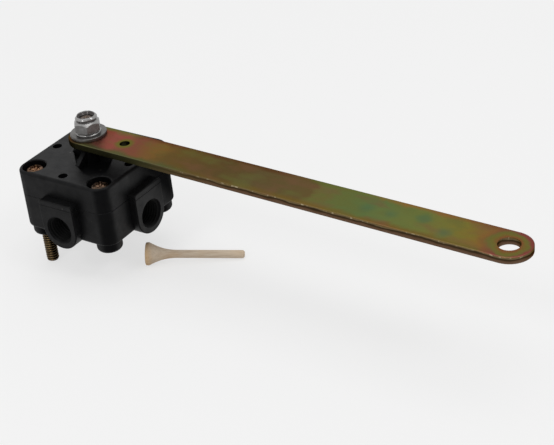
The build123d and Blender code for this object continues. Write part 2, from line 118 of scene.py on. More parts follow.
# %% [markdown]
# ## The camera
#
# The valve is seen from above its front corner, through a fairly long lens, and the picture leans a
# little to one side. The camera's place comes from fitting known points of the solids to where they
# are in the frame, which is 554 by 445 pixels. Its axes are worked out from azimuth, elevation and
# roll, because a matrix built from three vectors leaves no doubt about the order of the turns.

# %% Camera
camera_place = np.array([400.3, -417.4, 334.6])
azimuth, elevation, roll = np.radians([35.732, 31.191, 6.023])
frame_pixels = 554
focal_pixels = 1400.77
forward = np.array([-np.sin(azimuth) * np.cos(elevation), np.cos(azimuth) * np.cos(elevation),
                    -np.sin(elevation)])
level = np.cross(forward, [0, 0, 1])
level /= np.linalg.norm(level)
right = np.cos(roll) * level + np.sin(roll) * np.cross(forward, level)
up = np.cross(right, forward)

lens = bpy.data.cameras.new("camera")
lens.sensor_width = 36
lens.lens = focal_pixels * lens.sensor_width / frame_pixels
lens.clip_start = 0.01
lens.clip_end = 20
camera = bpy.data.objects.new("camera", lens)
axes = Matrix(np.column_stack([right, up, -forward]).tolist())
camera.matrix_world = Matrix.Translation(camera_place * mm) @ axes.to_4x4()
bpy.context.scene.collection.objects.link(camera)
bpy.context.scene.camera = camera
bpy.context.scene.view_settings.view_transform = "Standard"
print("lens:", round(lens.lens, 1), "mm")

# %% [markdown]
# ## Adding nodes
#
# A finish is a small network of nodes. The helper `add` adds a node, sets its properties, and gives
# each of its sockets a number, a colour code or another node, so a network reads as a list of
# sentences. `start_material` makes a material with its one shader, and `complete` joins the finished
# network to it. Many finishes lay tints over one another, each with its share, and `tinted` does that.

# %% Node helpers
def fill(tree, node, sockets):
    """Gives each socket a number, a colour code, an output, or a node, whose first output in use is taken."""
    for name, value in sockets.items():
        if isinstance(value, bpy.types.Node):
            value = next(output for output in value.outputs if output.enabled)
        if isinstance(value, bpy.types.NodeSocket):
            tree.links.new(value, node.inputs[name])
        else:
            node.inputs[name].default_value = linear(value) if isinstance(value, str) else value


def add(tree, kind, sockets, stops=None, **settings):
    """Adds a node: settings are its properties, sockets its inputs, and stops the colours of a ramp."""
    node = tree.nodes.new("ShaderNode" + kind)
    for name, value in settings.items():
        setattr(node, name, value)
    fill(tree, node, sockets)
    if stops:
        band = node.color_ramp.elements
        band.remove(band[1])
        (band[0].position, code), *others = stops.items()
        band[0].color = linear(code)
        for position, code in others:
            band.new(position).color = linear(code)
    return node


def start_material(name, sockets):
    """A material with one Principled shader, its tree, and the place of each point on the object."""
    material = bpy.data.materials.new(name)
    material.use_nodes = True
    tree = material.node_tree
    tree.nodes.clear()
    shader = add(tree, "BsdfPrincipled", sockets)
    add(tree, "OutputMaterial", {"Surface": shader})
    return material, tree, add(tree, "TexCoord", {}).outputs["Object"]


def complete(material, sockets):
    """Joins a network's ends to the sockets of the material's shader."""
    tree = material.node_tree
    fill(tree, tree.nodes["Principled BSDF"], sockets)
    print(material.name + ":", len(tree.nodes), "nodes")


def tinted(tree, colour, tints):
    """Lays tints over a colour, one after another, each hiding what is below it by its share, 0 to 1."""
    for share, tint in tints:
        colour = add(tree, "Mix", {0: share, 6: colour, 7: tint}, data_type="RGBA")
    return colour


# %% [markdown]
# ## Light and floor
#
# The piece is shown as in a catalogue: a pale ground with hardly a shadow. The world gives the black
# plastic an even light from all round, and the camera and the mirror-like metals see it as the pale
# ground. Four soft lamps do the rest: a broad one overhead, a broad one behind, which puts the faint
# sheen on the tops, and two smaller ones, in front and to the right, whose images are the glints on
# screws and nut. Together they bring a white card to about white, so that a finish renders as its
# colour is written. The floor glows, for the camera and for shiny surfaces only, so that most of the
# shadow goes.

# %% World
def seen_directly(tree):
    """1 for the camera's rays and those that a shiny or clear surface sends on, 0 for all-round light."""
    path = add(tree, "LightPath", {})
    sent_on = add(tree, "Math", {0: path.outputs["Is Glossy Ray"], 1: path.outputs["Is Transmission Ray"]},
                  operation="MAXIMUM")
    return add(tree, "Math", {0: path.outputs["Is Camera Ray"], 1: sent_on}, operation="MAXIMUM")


world = bpy.data.worlds.new("pale room")
world.use_nodes = True
bpy.context.scene.world = world
room = world.node_tree
room.nodes.clear()
all_round = add(room, "Background", {"Color": "#ffffff", "Strength": 0.5})
ground = add(room, "Background", {"Color": "#f2f2f2", "Strength": 1.0})
both = add(room, "MixShader", {0: seen_directly(room), 1: all_round, 2: ground})
add(room, "OutputWorld", {"Surface": both})
print("world:", len(room.nodes), "nodes")

# %% Lamps
def soft_lamp(name, place, aim, size, watts):
    """A square lamp at a place, facing a point, both in millimetres. One of its sides is square to y, which
    leans by a thousandth, so that there is such a side for every direction."""
    lamp = bpy.data.lights.new(name, "AREA")
    lamp.size = size * mm
    lamp.energy = watts
    holder = bpy.data.objects.new(name, lamp)
    back = np.array(place, float) - np.array(aim, float)
    distance = np.linalg.norm(back)
    back /= distance
    side = np.cross([0.0, 1.0, 0.001], back)
    side /= np.linalg.norm(side)
    turn = Matrix(np.column_stack([side, np.cross(back, side), back]).tolist())
    holder.matrix_world = Matrix.Translation(np.array(place) * mm) @ turn.to_4x4()
    bpy.context.scene.collection.objects.link(holder)
    print(name, "lamp:", watts, "W from", round(distance), "mm")


soft_lamp("overhead", place=(100, 100, 1500), aim=(80, 0, 20), size=1200, watts=7.0)
soft_lamp("behind", place=(-900, 1100, 900), aim=(60, 0, 30), size=900, watts=0.8)
soft_lamp("front", place=(-30, -1060, 1190), aim=(40, 0, 30), size=320, watts=3.5)
soft_lamp("right", place=(1060, -60, 1190), aim=(40, 0, 30), size=310, watts=2.7)

# %% Floor
def pale_floor(height, reach):
    """A flat square at a height, which reaches so far from the middle."""
    mesh = bpy.data.meshes.new("floor")
    corners = np.array([(-1, -1), (1, -1), (1, 1), (-1, 1)]) * reach
    mesh.from_pydata([(x * mm, y * mm, height * mm) for x, y in corners], [], [(0, 1, 2, 3)])
    floor = bpy.data.objects.new("floor", mesh)
    bpy.context.scene.collection.objects.link(floor)
    return floor


floor_height = solid_box[0][2] / mm
floor_gap = 0.02
glow_share = 0.7
floor = pale_floor(floor_height - floor_gap, 6000)
paper, tree, place = start_material("pale paper", {"Roughness": 0.9, "Specular IOR Level": 0.0})
shade = add(tree, "TexNoise", {"Vector": place, "Scale": 1 / (333.33 * mm)})
complete(paper, {"Base Color": add(tree, "ValToRGB", {"Fac": shade}, {0.0: "#efefef", 1.0: "#f2f2f2"})})
shadowless = add(tree, "Math", {0: seen_directly(tree), 1: glow_share}, operation="MULTIPLY")
glow = add(tree, "Emission", {"Color": "#f6f6f6", "Strength": 1.0})
mixed = add(tree, "MixShader", {0: shadowless, 1: tree.nodes["Principled BSDF"], 2: glow})
fill(tree, tree.get_output_node("ALL"), {"Surface": mixed})
floor.data.materials.append(paper)
floor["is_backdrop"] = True
print("floor at", round(floor_height, 2), "mm")

# %% [markdown]
# ## Moulded nylon
#
# Housing and cover are glass-filled nylon, injection moulded. The steel mould is spark-eroded, so the
# plastic has a fine, even grain and a dull sheen, a little less even on broad faces, where it sank as
# it cooled. The grain is about 0.3 mm across, which is less than a pixel, so it is drawn at 0.7 mm.
# The sheen stands in for light in three places. It is weaker at the rounded corners, as painted
# shade, and stronger on the supply side, as painted sheen. The normal tells both: its x times its y
# is largest half way round a corner. Below the lever the supply side's sheen fades towards its rear
# top corner, as a painted shadow of the lever, which is told by the place along y plus 0.7 of the
# height. Handling rubs the skin in patches of about 5 mm, and a few specks of dust lie on it, drawn
# from the middles of Voronoi cells.

# %% Sheen of the moulded skin
def facing(tree):
    """The direction in which the surface faces, as x, y and z."""
    return add(tree, "SeparateXYZ", {0: add(tree, "NewGeometry", {}).outputs["Normal"]})


nylon, tree, place = start_material("moulded nylon", {"IOR": 1.53})
normal = facing(tree)
# Painted sheen: faces towards +x, the supply side, get more sheen than the rest.
sheen_with_lit_side = add(tree, "MapRange", {"Value": normal.outputs["X"], "From Min": 0.8, "To Min": 0.115,
                                     "To Max": 0.19})
# Painted shade: the sheen drops at the rounded corners, where x times y of the normal is large.
turned_away = add(tree, "Math", {0: normal.outputs["X"], 1: normal.outputs["Y"]}, operation="MULTIPLY")
round_corner = add(tree, "Math", {0: turned_away}, operation="ABSOLUTE")
painted_corner_shade = add(tree, "MapRange", {"Value": round_corner, "From Min": 0.04, "From Max": 0.42, "To Min": 1.0,
                               "To Max": 0.3}, interpolation_type="SMOOTHSTEP")
# Painted shadow of the lever: the supply side's sheen fades towards its rear top corner.
on_body = add(tree, "SeparateXYZ", {0: place})
back_and_up = add(tree, "Math", {0: on_body.outputs["Z"], 1: 0.7, 2: on_body.outputs["Y"]},
                  operation="MULTIPLY_ADD")
painted_lever_shadow = add(tree, "MapRange", {"Value": back_and_up, "From Min": 13 * mm, "From Max": 29 * mm,
                                   "To Min": 1.0, "To Max": 0.05}, interpolation_type="SMOOTHSTEP")
other_faces = add(tree, "MapRange", {"Value": normal.outputs["X"], "From Min": 0.4, "From Max": 0.75,
                                     "To Min": 1.0, "To Max": 0.0})
outside_lever_shadow = add(tree, "Math", {0: painted_lever_shadow, 1: other_faces}, operation="MAXIMUM")
patches = add(tree, "TexNoise", {"Vector": place, "Scale": 1 / (5 * mm), "Detail": 5.0, "Roughness": 0.65})
rubbed = add(tree, "MapRange", {"Value": patches, "From Min": 0.35, "From Max": 0.65, "To Min": 0.8,
                                "To Max": 1.2})
sheen = sheen_with_lit_side
for part in (painted_corner_shade, outside_lever_shadow, rubbed):
    sheen = add(tree, "Math", {0: sheen, 1: part}, operation="MULTIPLY")
print("sheen:", len(tree.nodes), "nodes")

# %% Colour and grain of the moulded skin
sink = add(tree, "TexNoise", {"Vector": place, "Scale": 1 / (14 * mm), "Detail": 3.0})
grain = add(tree, "TexNoise", {"Vector": place, "Scale": 1 / (0.7 * mm), "Detail": 4.0, "Roughness": 0.6})
skin = add(tree, "ValToRGB", {"Fac": sink}, {0.3: "#050506", 0.75: "#0d0d0e"})
cells = add(tree, "TexVoronoi", {"Vector": place, "Scale": 1 / (8 * mm)})
dust = add(tree, "MapRange", {"Value": cells, "From Min": 0.055, "From Max": 0.03, "To Max": 0.7})
uneven = add(tree, "Math", {0: sink, 1: grain}, operation="MULTIPLY")
complete(nylon, {
    "Specular IOR Level": sheen,
    "Base Color": add(tree, "Mix", {0: dust, 6: skin, 7: "#55534f"}, data_type="RGBA"),
    "Roughness": add(tree, "MapRange", {"Value": uneven, "From Min": 0.1, "From Max": 0.45, "To Min": 0.38,
                                        "To Max": 0.5}),
    "Normal": add(tree, "Bump", {"Height": grain, "Strength": 0.22, "Distance": 0.12 * mm})})

# %% [markdown]
# ## Yellow zinc on the lever
#
# The lever is cut from steel strip, zinc plated and dipped in yellow chromate. The film is thinner
# than a wave of light in some places and thicker in others, so its colour drifts from rose through
# brown and ochre to green along the bar, with other tints round the holes and along the rims. Ramps
# along the bar give the drift, noise makes its borders ragged, and distances from the holes, from the
# rims and from a few dried drops give the tints. The light olive on the near rim by the pivot is a
# painted highlight. The sides were cut by a shear, which leaves a bright rubbed line at the top and a
# darker torn band below it. Small painted glints lie along that line, and the side is made darker, as
# painted shade, over the part of the bar nearest the pivot. Towards the rim of its reflection a film
# like this doesn't turn as white as bare metal, and that is what the Specular Tint says. Patches, torn
# marks, glints and the fine lines from rolling are stretched along the bar or across it. Glints and
# lines are drawn coarser than they are, so that they show.

# %% Where a point is on the lever
film, tree, place = start_material("yellow zinc on steel", {"Metallic": 1.0, "Specular Tint": "#9c917c"})
lever_turn = -1.65
along_bar = add(tree, "Mapping", {"Vector": place, "Rotation": (0, 0, np.radians(-lever_turn))})
bar = add(tree, "SeparateXYZ", {0: along_bar})
cloud = add(tree, "TexNoise", {"Vector": place, "Scale": 1 / (11 * mm), "Detail": 4.0, "Roughness": 0.62})
ragged = add(tree, "MapRange", {"Value": cloud, "From Min": 0.3, "From Max": 0.7, "To Min": -6 * mm,
                                "To Max": 6 * mm})


def near(x, y, z, wander):
    """Distance from a point, given in millimetres along the bar, plus wander times the raggedness."""
    apart = add(tree, "VectorMath", {0: along_bar, 1: (x * mm, y * mm, z * mm)}, operation="DISTANCE")
    return add(tree, "Math", {0: ragged, 1: wander, 2: apart}, operation="MULTIPLY_ADD")


print("lever turned by", lever_turn, "degrees")

# %% Colours along the middle and along both rims
drift = add(tree, "Math", {0: bar.outputs["X"], 1: ragged}, operation="ADD")
share = add(tree, "MapRange", {"Value": drift, "From Min": -10 * mm, "From Max": 221 * mm})
middle = add(tree, "ValToRGB", {"Fac": share}, {
    0.01: "#4a3a2b", 0.05: "#7c4c42", 0.11: "#8d544e", 0.16: "#7b5146", 0.205: "#775d3c", 0.25: "#665538",
    0.37: "#5d4f38", 0.476: "#60543c", 0.555: "#63563c", 0.58: "#66683f", 0.69: "#5e6f47", 0.79: "#6c7242",
    0.866: "#776f3b", 0.91: "#7f6838"})
far_rim = add(tree, "ValToRGB", {"Fac": share}, {
    0.05: "#5d6840", 0.125: "#646e44", 0.16: "#69493a", 0.2: "#5d4030", 0.5: "#5a412c", 0.57: "#5f6438",
    0.66: "#666c3e", 0.72: "#85643a", 0.84: "#84623a", 0.93: "#6e4738"})
# Painted highlight: the light olive at 0.06 stands in for a glint on the near rim by the pivot; the other
# stops are tints of the film.
near_rim_film_and_highlight = add(tree, "ValToRGB", {"Fac": share}, {
    0.025: "#453a27", 0.06: "#6c7049", 0.09: "#575c40", 0.26: "#565b3f", 0.34: "#645436", 0.6: "#6f5d33",
    0.75: "#735630", 0.95: "#66603a"})
far_side = add(tree, "Math", {0: bar.outputs["Y"], 1: 0.0}, operation="GREATER_THAN")
off_middle = add(tree, "Math", {0: bar.outputs["Y"]}, operation="ABSOLUTE")
rim_place = add(tree, "Math", {0: ragged, 1: 0.22, 2: off_middle}, operation="MULTIPLY_ADD")
rim = add(tree, "MapRange", {"Value": rim_place, "From Min": 5.6 * mm, "From Max": 9.2 * mm, "To Max": 0.9},
          interpolation_type="SMOOTHSTEP")
rim_colour = add(tree, "Mix", {0: far_side, 6: near_rim_film_and_highlight, 7: far_rim}, data_type="RGBA")
top_tints = [(rim, rim_colour)]
print("stops along the middle and the rims:",
      [len(band.color_ramp.elements) for band in (middle, far_rim, near_rim_film_and_highlight)])

# %% Patches where the film is a little thinner or thicker
long_patches = add(tree, "Mapping", {"Vector": along_bar, "Scale": fineness(16.667, 9.091, 9.091)})
patches = add(tree, "TexNoise", {"Vector": long_patches, "Scale": 1.0, "Detail": 3.0})
rosy = add(tree, "MapRange", {"Value": patches, "From Min": 0.48, "From Max": 0.33, "To Max": 0.4})
olive = add(tree, "MapRange", {"Value": patches, "From Min": 0.52, "From Max": 0.68, "To Max": 0.5})
top_tints += [(rosy, "#745446"), (olive, "#63663f")]
print("tints over the middle's colour:", len(top_tints))

# %% Tints round the two holes, and where drops dried on the far half
small_hole_x, link_hole_x, hole_z = 21.3, 211.1, 43.7
halo = add(tree, "MapRange", {"Value": near(small_hole_x, 0, hole_z, 0.0), "From Min": 3.0 * mm,
                              "From Max": 5.8 * mm, "To Min": 0.85, "To Max": 0.0},
           interpolation_type="SMOOTHSTEP")
from_link = near(link_hole_x, 0, hole_z, 0.25)
ring_share = add(tree, "Math", {0: from_link, 1: 16 * mm}, operation="DIVIDE")
ring_colour = add(tree, "ValToRGB", {"Fac": ring_share}, {
    0.33: "#7c5038", 0.42: "#6c6538", 0.52: "#66683c", 0.62: "#7a5a3c", 0.75: "#84553a"})
ring = add(tree, "MapRange", {"Value": from_link, "From Min": 8.5 * mm, "From Max": 14 * mm, "To Min": 0.9,
                              "To Max": 0.0}, interpolation_type="SMOOTHSTEP")
past_hole = add(tree, "MapRange", {"Value": bar.outputs["X"], "From Min": 202 * mm, "From Max": 209 * mm})
end_rim = add(tree, "MapRange", {"Value": from_link, "From Min": 7.6 * mm, "From Max": 9.2 * mm})
pink_end = add(tree, "Math", {0: past_hole, 1: end_rim}, operation="MULTIPLY")
top_tints += [(halo, "#656a38"), (ring, ring_colour), (pink_end, "#7b4540")]
for x, y, size in ((149, -0.5, 5), (159.5, -0.5, 5.5), (173.5, 2, 4.5), (185, -4, 5.5)):
    drop = add(tree, "MapRange", {"Value": near(x, y, lever_top, 0.2), "From Min": size * mm,
                                  "From Max": 0.0, "To Max": 0.6}, interpolation_type="SMOOTHSTEP")
    top_tints.append((drop, "#4f694f"))
print("tints with those of holes and drops:", len(top_tints))

# %% Sheared sides
steep = add(tree, "Math", {0: facing(tree).outputs["Z"]}, operation="ABSOLUTE")
side = add(tree, "MapRange", {"Value": steep, "From Min": 0.35, "From Max": 0.75, "To Min": 1.0,
                              "To Max": 0.0})
tears = add(tree, "Mapping", {"Vector": along_bar, "Scale": fineness(9.091, 9.091, 3.3333)})
torn = add(tree, "TexNoise", {"Vector": tears, "Scale": 1.0, "Detail": 3.0})
rise = add(tree, "MapRange", {"Value": bar.outputs["Z"], "From Min": lever_bottom * mm,
                              "From Max": lever_top * mm})
shift = add(tree, "MapRange", {"Value": torn, "From Min": 0.3, "From Max": 0.7, "To Min": -0.15,
                               "To Max": 0.12})
cut_place = add(tree, "Math", {0: rise, 1: shift}, operation="ADD")
cut = add(tree, "ValToRGB", {"Fac": cut_place}, {
    0.0: "#6e5a4a", 0.42: "#604838", 0.58: "#33291c", 0.7: "#3a2f20", 0.82: "#77674c", 0.92: "#6f5c3b",
    1.0: "#6c5730"})
# Painted glints: small bright spots along the rubbed line stand in for glints on the burrs.
specks = add(tree, "Mapping", {"Vector": along_bar, "Scale": fineness(1.6667, 1.6667, 3.3333)})
sparks = add(tree, "TexNoise", {"Vector": specks, "Scale": 1.0, "Detail": 1.0})
glint_spots = add(tree, "MapRange", {"Value": sparks, "From Min": 0.58, "From Max": 0.68, "To Max": 0.85})
on_line = add(tree, "MapRange", {"Value": cut_place, "From Min": 0.74, "From Max": 0.84})
painted_burr_glints = add(tree, "Math", {0: glint_spots, 1: on_line}, operation="MULTIPLY")
cut = add(tree, "Mix", {0: painted_burr_glints, 6: cut, 7: "#c8bb9b"}, data_type="RGBA")
# Painted shade: the sheared side is made darker over the part of the bar nearest the pivot.
shaded_cut = add(tree, "ValToRGB", {"Fac": share}, {0.12: "#2b2a1c", 0.23: "#3f3e27", 0.34: "#57472f"})
unshaded_part = add(tree, "MapRange", {"Value": share, "From Min": 0.2, "From Max": 0.42, "To Max": 0.9})
side_colour = add(tree, "Mix", {0: unshaded_part, 6: shaded_cut, 7: cut}, data_type="RGBA")
print("sheared side from", lever_bottom, "to", lever_top, "mm")

# %% The way the strip was rolled
long_grain = add(tree, "Mapping", {"Vector": along_bar, "Scale": fineness(25, 0.9091, 0.9091)})
rolled = add(tree, "TexNoise", {"Vector": long_grain, "Scale": 1.0, "Detail": 4.0})
complete(film, {
    "Base Color": tinted(tree, middle, top_tints + [(side, side_colour)]),
    "Roughness": add(tree, "MapRange", {"Value": cloud, "From Min": 0.3, "From Max": 0.7, "To Min": 0.38,
                                        "To Max": 0.52}),
    "Normal": add(tree, "Bump", {"Height": rolled, "Strength": 0.2, "Distance": 0.08 * mm})})

# %% [markdown]
# ## Clear zinc
#
# The nut is zinc plated and blue-white passivated: a grey metal under a thin milky film, so it is less
# than fully metallic, and dulled in faint clouds. Painted shade darkens it inside its mouth and in the
# corner under its collar, which are told by height and by the distance from the shaft's axis. The
# flats are rougher and duller than the turned faces, as they were drawn, not cut, and the faces that
# tilt upwards are made lighter than the flats, as a painted highlight.

# %% Painted shade on the nut
clear_zinc, tree, place = start_material("clear zinc on steel", {"Metallic": 0.55})
mouth_radius, neck_radius, neck_height = 4.1, 5.0, 53.6
flat = add(tree, "VectorMath", {0: place, 1: (1, 1, 0)}, operation="MULTIPLY")
off_axis = add(tree, "VectorMath", {0: flat}, operation="LENGTH")
# Painted shade: darker inside the nut's mouth and in the corner under its collar.
in_mouth = add(tree, "MapRange", {"Value": off_axis, "From Min": mouth_radius * mm,
                                  "From Max": (mouth_radius - 0.25) * mm, "To Max": 0.9})
height = add(tree, "SeparateXYZ", {0: place}).outputs["Z"]
above_neck = add(tree, "Math", {0: height, 1: neck_height * mm}, operation="SUBTRACT")
off_neck = add(tree, "Math", {0: above_neck}, operation="ABSOLUTE")
near_neck = add(tree, "MapRange", {"Value": off_neck, "From Min": 0.7 * mm, "From Max": 0.3 * mm})
in_neck = add(tree, "MapRange", {"Value": off_axis, "From Min": neck_radius * mm,
                                 "From Max": (neck_radius - 0.2) * mm, "To Max": 0.8})
in_corner = add(tree, "Math", {0: near_neck, 1: in_neck}, operation="MULTIPLY")
painted_nut_shade = add(tree, "Math", {0: in_mouth, 1: in_corner}, operation="MAXIMUM")
print("painted shade within", mouth_radius, "mm of the axis, and round the neck at", neck_height, "mm")

# %% Clouds and polish of the clear zinc
cloud = add(tree, "TexNoise", {"Vector": place, "Scale": 1 / (2.5 * mm), "Detail": 4.0})
milky = add(tree, "ValToRGB", {"Fac": cloud}, {0.3: "#676563", 0.55: "#787776", 0.75: "#8e8d8c"})
steep = add(tree, "Math", {0: facing(tree).outputs["Z"]}, operation="ABSOLUTE")
# Painted highlight: faces that tilt upwards are made lighter than the flats.
bright = add(tree, "MapRange", {"Value": steep, "From Min": 0.1, "From Max": 0.3, "To Max": 0.5})
drawn = add(tree, "MapRange", {"Value": steep, "From Min": 0.1, "From Max": 0.3, "To Min": 0.28,
                               "To Max": 0.0})
turned = add(tree, "MapRange", {"Value": cloud, "From Min": 0.3, "From Max": 0.7, "To Min": 0.14,
                                "To Max": 0.24})
fine = add(tree, "TexNoise", {"Vector": place, "Scale": 1 / (0.5 * mm), "Detail": 2.0})
complete(clear_zinc, {
    "Base Color": tinted(tree, milky, [(bright, "#a9a8a7"), (painted_nut_shade, "#2b2422")]),
    "Roughness": add(tree, "Math", {0: drawn, 1: turned}, operation="ADD"),
    "Normal": add(tree, "Bump", {"Height": fine, "Strength": 0.12, "Distance": 0.05 * mm})})

# %% [markdown]
# ## Yellow zinc on the screws
#
# The screws have the same yellow chromate as the lever, but a thicker one, so they are brown, redder
# on the heads than on the studs. The heads' recesses are made lighter than the heads, as painted
# light in place of their glints, and the thread's roots are made almost black, as painted shade. The
# height tells heads and recesses from the rest, and the distance from the screw's axis tells a root.
# All four screws have the same distances from x = 0 and y = 0, so one axis does for all. The two
# short ones, on the side of x above 0, are greyer.

# %% Parts of a screw
gold_zinc, tree, place = start_material("yellow zinc on screws", {"Metallic": 1.0})
red_from, head_from = 20, 29
crest_reach, root_reach = 2.85, 2.45
at = add(tree, "SeparateXYZ", {0: place})
upper_part = add(tree, "Math", {0: at.outputs["Z"], 1: red_from * mm}, operation="GREATER_THAN")
# Painted light: the recesses are made lighter than the heads, in place of their glints.
in_recess = add(tree, "MapRange", {"Value": at.outputs["Z"], "From Min": (head_top - 0.5) * mm,
                                   "From Max": (head_top - 1.8) * mm})
is_head = add(tree, "Math", {0: at.outputs["Z"], 1: head_from * mm}, operation="GREATER_THAN")
painted_recess_light = add(tree, "Math", {0: in_recess, 1: is_head}, operation="MULTIPLY")
short = add(tree, "Math", {0: at.outputs["X"], 1: 0.0}, operation="GREATER_THAN")
greyed = add(tree, "Math", {0: short, 1: 0.6}, operation="MULTIPLY")
quarter = add(tree, "VectorMath", {0: place}, operation="ABSOLUTE")
screw_axis = (half_spacing * mm, half_spacing * mm, 0)
off_screw = add(tree, "VectorMath", {0: quarter, 1: screw_axis}, operation="SUBTRACT")
level_part = add(tree, "VectorMath", {0: off_screw, 1: (1, 1, 0)}, operation="MULTIPLY")
off_axis = add(tree, "VectorMath", {0: level_part}, operation="LENGTH")
# Painted shade: the thread's roots are made almost black.
thread_root = add(tree, "MapRange", {"Value": off_axis, "From Min": crest_reach * mm,
                                     "From Max": root_reach * mm})
is_shank = add(tree, "Math", {0: at.outputs["Z"], 1: head_from * mm}, operation="LESS_THAN")
painted_root_shade = add(tree, "Math", {0: thread_root, 1: is_shank}, operation="MULTIPLY")
print("heads from", head_from, "mm up, roots within", crest_reach, "mm of a screw's axis")

# %% Colour and polish of the screws
cloud = add(tree, "TexNoise", {"Vector": place, "Scale": 1 / (2.2 * mm), "Detail": 4.0})
stud_gold = add(tree, "ValToRGB", {"Fac": cloud}, {0.25: "#4a3c27", 0.5: "#5d4c33", 0.75: "#726042"})
head_gold = add(tree, "ValToRGB", {"Fac": cloud}, {0.25: "#3e2c22", 0.5: "#5a4231", 0.75: "#80654a"})
polish = add(tree, "MapRange", {"Value": cloud, "From Min": 0.3, "From Max": 0.7, "To Min": 0.16,
                                "To Max": 0.3})
fine = add(tree, "TexNoise", {"Vector": place, "Scale": 1 / (0.4 * mm), "Detail": 2.0})
complete(gold_zinc, {
    "Base Color": tinted(tree, stud_gold, [(upper_part, head_gold), (painted_recess_light, "#765a45"), (greyed, "#453c35"),
                                           (painted_root_shade, "#17120c")]),
    "Roughness": add(tree, "Math", {0: upper_part, 1: 0.06, 2: polish}, operation="MULTIPLY_ADD"),
    "Normal": add(tree, "Bump", {"Height": fine, "Strength": 0.015, "Distance": 0.05 * mm})})

# %% [markdown]
# ## Turned wood
#
# The locating pin is birch, turned and left bare. Birch is pale tan with long fine pores along the
# pin, and turning leaves faint rings round it. The rim of its head rubbed on the tool and is a little
# scorched. The pin lies at 31 degrees to the valve, so a Mapping node turns the pattern into line with
# it before the pores are stretched. Real pores are about 0.1 mm wide, and are drawn wider to show.

# %% Turned wood
wood, tree, place = start_material("turned birch", {"IOR": 1.45, "Specular IOR Level": 0.3})
pin_heading = 31.0
head_rim, head_rim_end = 21.2, 24.0
along_pin = add(tree, "Mapping", {"Vector": place, "Rotation": (0, 0, np.radians(-pin_heading))})
long_pores = add(tree, "Mapping", {"Vector": along_pin, "Scale": fineness(11.111, 0.76923, 0.76923)})
pores = add(tree, "TexNoise", {"Vector": long_pores, "Scale": 1.0, "Detail": 4.0})
patch = add(tree, "TexNoise", {"Vector": place, "Scale": 1 / (9 * mm), "Detail": 2.0})
birch = add(tree, "ValToRGB", {"Fac": pores}, {0.3: "#c0ac95", 0.5: "#cdbba5", 0.75: "#d6c7b2"})
warm = add(tree, "MapRange", {"Value": patch, "From Min": 0.45, "From Max": 0.7, "To Max": 0.45})
from_head = add(tree, "SeparateXYZ", {0: along_pin}).outputs["X"]
scorched = add(tree, "MapRange", {"Value": from_head, "From Min": head_rim * mm,
                                  "From Max": head_rim_end * mm, "To Min": 0.7, "To Max": 0.0})
rings = add(tree, "TexWave", {"Vector": along_pin, "Scale": 1 / (1.6 * mm), "Distortion": 1.5},
            bands_direction="X")
marks = add(tree, "Math", {0: rings.outputs["Fac"], 1: pores}, operation="ADD")
complete(wood, {
    "Base Color": tinted(tree, birch, [(warm, "#c19d72"), (scorched, "#cda97c")]),
    "Roughness": add(tree, "MapRange", {"Value": pores, "To Min": 0.6, "To Max": 0.8}),
    "Normal": add(tree, "Bump", {"Height": marks, "Strength": 0.12, "Distance": 0.04 * mm})})

# %% [markdown]
# ## What is inside
#
# The inner pieces aren't seen in the picture, but the model can be taken apart, so each has a finish
# of its own, and so have the shaft and the washer: metals that were turned or ground, with fine marks,
# acetal and ceramic, which are plain and smooth, and rubber, which is dull and a little dusty. They
# differ in a few numbers only, so one function makes them from a table: two colours, the size of the
# marks, and how far they are stretched round the shaft's axis or along it.

# %% Finishes of the inner pieces
def inner_finish(name, dark, light, sockets, mark, stretch, rough, depth):
    """A colour that drifts between two, and marks of a size and depth in mm, stretched along the axes."""
    material, tree, place = start_material(name, sockets)
    clouds = add(tree, "TexNoise", {"Vector": place, "Scale": 1 / (4 * mm), "Detail": 3.0})
    long = add(tree, "Mapping", {"Vector": place, "Scale": tuple(s / (mark * mm) for s in stretch)})
    marks = add(tree, "TexNoise", {"Vector": long, "Scale": 1.0, "Detail": 3.0})
    complete(material, {
        "Base Color": add(tree, "ValToRGB", {"Fac": clouds}, {0.3: dark, 0.7: light}),
        "Roughness": add(tree, "MapRange", {"Value": marks, "To Min": rough - 0.06, "To Max": rough + 0.06}),
        "Normal": add(tree, "Bump", {"Height": marks, "Strength": 0.2, "Distance": depth * mm})})
    return material


metal = {"Metallic": 1.0}
round_marks = (0.15, 0.15, 1.0)
even_marks = (1.0, 1.0, 1.0)
brass = inner_finish("turned brass", "#a8843f", "#c19d54", metal, 0.3, round_marks, 0.28, 0.03)
bronze = inner_finish("sintered bronze", "#7f5a34", "#9a7243", metal, 0.25, even_marks, 0.42, 0.05)
ground_steel = inner_finish("ground steel", "#8d8c8a", "#a5a4a2", metal, 0.25, round_marks, 0.24, 0.03)
oiled_steel = inner_finish("oiled steel", "#3d322b", "#61554c", metal, 0.25, round_marks, 0.26, 0.03)
spring_steel = inner_finish("spring steel", "#62605d", "#7f7d7a", metal, 0.4, even_marks, 0.33, 0.03)
acetal = inner_finish("moulded acetal", "#d9d6cb", "#e4e1d7", {"IOR": 1.48}, 0.6, even_marks, 0.42, 0.03)
ceramic = inner_finish("lapped alumina", "#e2dccb", "#ece7d9", {"IOR": 1.76}, 0.3, even_marks, 0.2, 0.01)
# Painted shade: the washer gets a darker copy of the nut's clear zinc.
painted_shade_washer_zinc = inner_finish("zinc on the washer with painted shade", "#4a4846", "#605f5d", {"Metallic": 0.75}, 0.6, even_marks,
                         0.3, 0.04)
rubber = inner_finish("nitrile rubber", "#17171a", "#232325", {"IOR": 1.52, "Specular IOR Level": 0.35}, 0.5,
                      even_marks, 0.62, 0.05)

